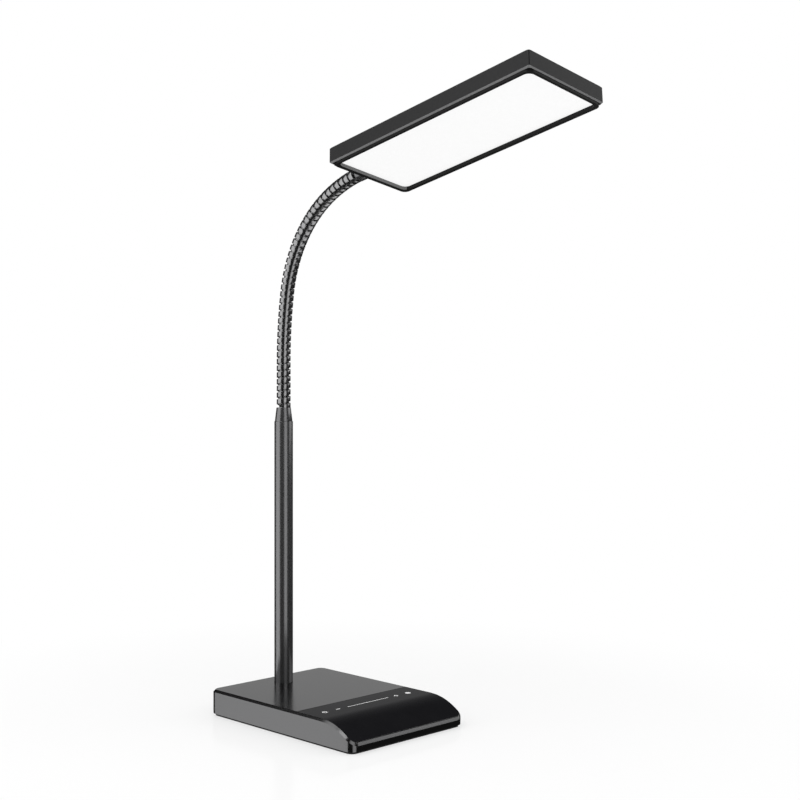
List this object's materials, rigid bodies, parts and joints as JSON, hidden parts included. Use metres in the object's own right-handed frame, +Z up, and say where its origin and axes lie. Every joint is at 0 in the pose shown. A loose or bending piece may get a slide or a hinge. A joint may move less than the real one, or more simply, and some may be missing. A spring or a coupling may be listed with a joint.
{
  "type": "gooseneck desk lamp",
  "caption": "Desk lamp with a low base and touch panel, an upright pole, a bendable wound gooseneck and a flat rectangular light panel.",
  "frame": {"origin": "middle of the base's underside, on the table", "axes": "+Z up, front of the base and the head toward -Y, +X to the right seen from the front"},
  "size_m": [0.1248, 0.3343, 0.508],
  "materials": {
    "pad_rubber": "matte foam",
    "zinc_steel": "zinc plated",
    "cover_grey": "fine moulded texture",
    "screw_steel": "plain",
    "gloss_black": "polished",
    "board_green": "solder mask",
    "chip_black": "moulded",
    "contact_metal": "nickel plated",
    "ballast_iron": "as cast",
    "black_metal": "satin black",
    "neck_metal": "satin black",
    "lead_black": "matte",
    "cast_alloy": "plain",
    "connector_cream": "moulded",
    "flex_amber": "film",
    "head_grey": "fine moulded texture",
    "bezel_black": "satin",
    "lit_sheet": "frosted, lit from behind",
    "clear_sheet": "clear",
    "white_sheet": "film",
    "strip_white": "solder mask",
    "led_phosphor": "phosphor"
  },
  "bodies": {
    "base": {"base_pad": "pad_rubber", "base_plate": "zinc_steel", "base_cover": "cover_grey", "base_screws": "screw_steel", "touch_panel": "gloss_black", "touch_board": "board_green", "control_board": "board_green", "board_parts": "chip_black", "dc_jack": "chip_black", "jack_pin": "contact_metal", "rear_ballast": "ballast_iron", "front_ballast": "ballast_iron", "ballast_screws": "screw_steel", "pole_flange": "zinc_steel", "flange_screws": "screw_steel", "pole": "black_metal", "neck_ferrule": "black_metal", "lower_stud": "zinc_steel", "pole_lead": "lead_black", "neck_turns_01": "neck_metal", "neck_core_01": "lead_black"},
    "neck_link_02": {"neck_turns_02": "neck_metal", "neck_core_02": "lead_black"},
    "neck_link_03": {"neck_turns_03": "neck_metal", "neck_core_03": "lead_black"},
    "neck_link_04": {"neck_turns_04": "neck_metal", "neck_core_04": "lead_black"},
    "neck_link_05": {"neck_turns_05": "neck_metal", "neck_core_05": "lead_black"},
    "neck_link_06": {"neck_turns_06": "neck_metal", "neck_core_06": "lead_black"},
    "neck_link_07": {"neck_turns_07": "neck_metal", "neck_core_07": "lead_black"},
    "neck_link_08": {"neck_turns_08": "neck_metal", "neck_core_08": "lead_black"},
    "neck_link_09": {"neck_turns_09": "neck_metal", "neck_core_09": "lead_black"},
    "neck_link_10": {"neck_turns_10": "neck_metal", "neck_core_10": "lead_black"},
    "neck_link_11": {"neck_turns_11": "neck_metal", "neck_core_11": "lead_black"},
    "neck_link_12": {"neck_turns_12": "neck_metal", "neck_core_12": "lead_black"},
    "head": {"neck_turns_13": "neck_metal", "neck_core_13": "lead_black", "neck_collar": "black_metal", "neck_clamp": "cast_alloy", "clamp_screws": "screw_steel", "lead_connector": "connector_cream", "head_flex": "flex_amber", "head_housing": "head_grey", "head_bezel": "bezel_black", "diffuser": "lit_sheet", "light_guide": "clear_sheet", "reflector_sheet": "white_sheet", "back_plate": "cast_alloy", "plate_screws": "screw_steel", "led_strips": "strip_white", "led_chips": "led_phosphor"}
  },
  "joints": [
    {"name": "neck_bend_01", "type": "hinge", "parent": "base", "child": "neck_link_02", "pos_m": [0, 0.0662, 0.27803], "axis": [1, 0, 0], "range_deg": [-15, 15]},
    {"name": "neck_sway_02", "type": "hinge", "parent": "neck_link_02", "child": "neck_link_03", "pos_m": [0, 0.0662, 0.29542], "axis": [0, 1, 0], "range_deg": [-15, 15]},
    {"name": "neck_bend_03", "type": "hinge", "parent": "neck_link_03", "child": "neck_link_04", "pos_m": [0, 0.06586, 0.31282], "axis": [1, 0, 0], "range_deg": [-15, 15]},
    {"name": "neck_sway_04", "type": "hinge", "parent": "neck_link_04", "child": "neck_link_05", "pos_m": [0, 0.06473, 0.33018], "axis": [0, 0.9962, 0.0877], "range_deg": [-15, 15]},
    {"name": "neck_bend_05", "type": "hinge", "parent": "neck_link_05", "child": "neck_link_06", "pos_m": [0, 0.06281, 0.34747], "axis": [1, 0, 0], "range_deg": [-15, 15]},
    {"name": "neck_sway_06", "type": "hinge", "parent": "neck_link_06", "child": "neck_link_07", "pos_m": [0, 0.05989, 0.36462], "axis": [0, 0.9731, 0.2305], "range_deg": [-15, 15]},
    {"name": "neck_bend_07", "type": "hinge", "parent": "neck_link_07", "child": "neck_link_08", "pos_m": [0, 0.05456, 0.38116], "axis": [1, 0, 0], "range_deg": [-15, 15]},
    {"name": "neck_sway_08", "type": "hinge", "parent": "neck_link_08", "child": "neck_link_09", "pos_m": [0, 0.04669, 0.39666], "axis": [0, 0.8533, 0.5214], "range_deg": [-15, 15]},
    {"name": "neck_bend_09", "type": "hinge", "parent": "neck_link_09", "child": "neck_link_10", "pos_m": [0, 0.03649, 0.41074], "axis": [1, 0, 0], "range_deg": [-15, 15]},
    {"name": "neck_sway_10", "type": "hinge", "parent": "neck_link_10", "child": "neck_link_11", "pos_m": [0, 0.0242, 0.42303], "axis": [0, 0.6492, 0.7606], "range_deg": [-15, 15]},
    {"name": "neck_bend_11", "type": "hinge", "parent": "neck_link_11", "child": "neck_link_12", "pos_m": [0, 0.01013, 0.43323], "axis": [1, 0, 0], "range_deg": [-15, 15]},
    {"name": "neck_sway_12", "type": "hinge", "parent": "neck_link_12", "child": "head", "pos_m": [0, -0.00532, 0.44122], "axis": [0, 0.4002, 0.9164], "range_deg": [-15, 15]}
  ]
}
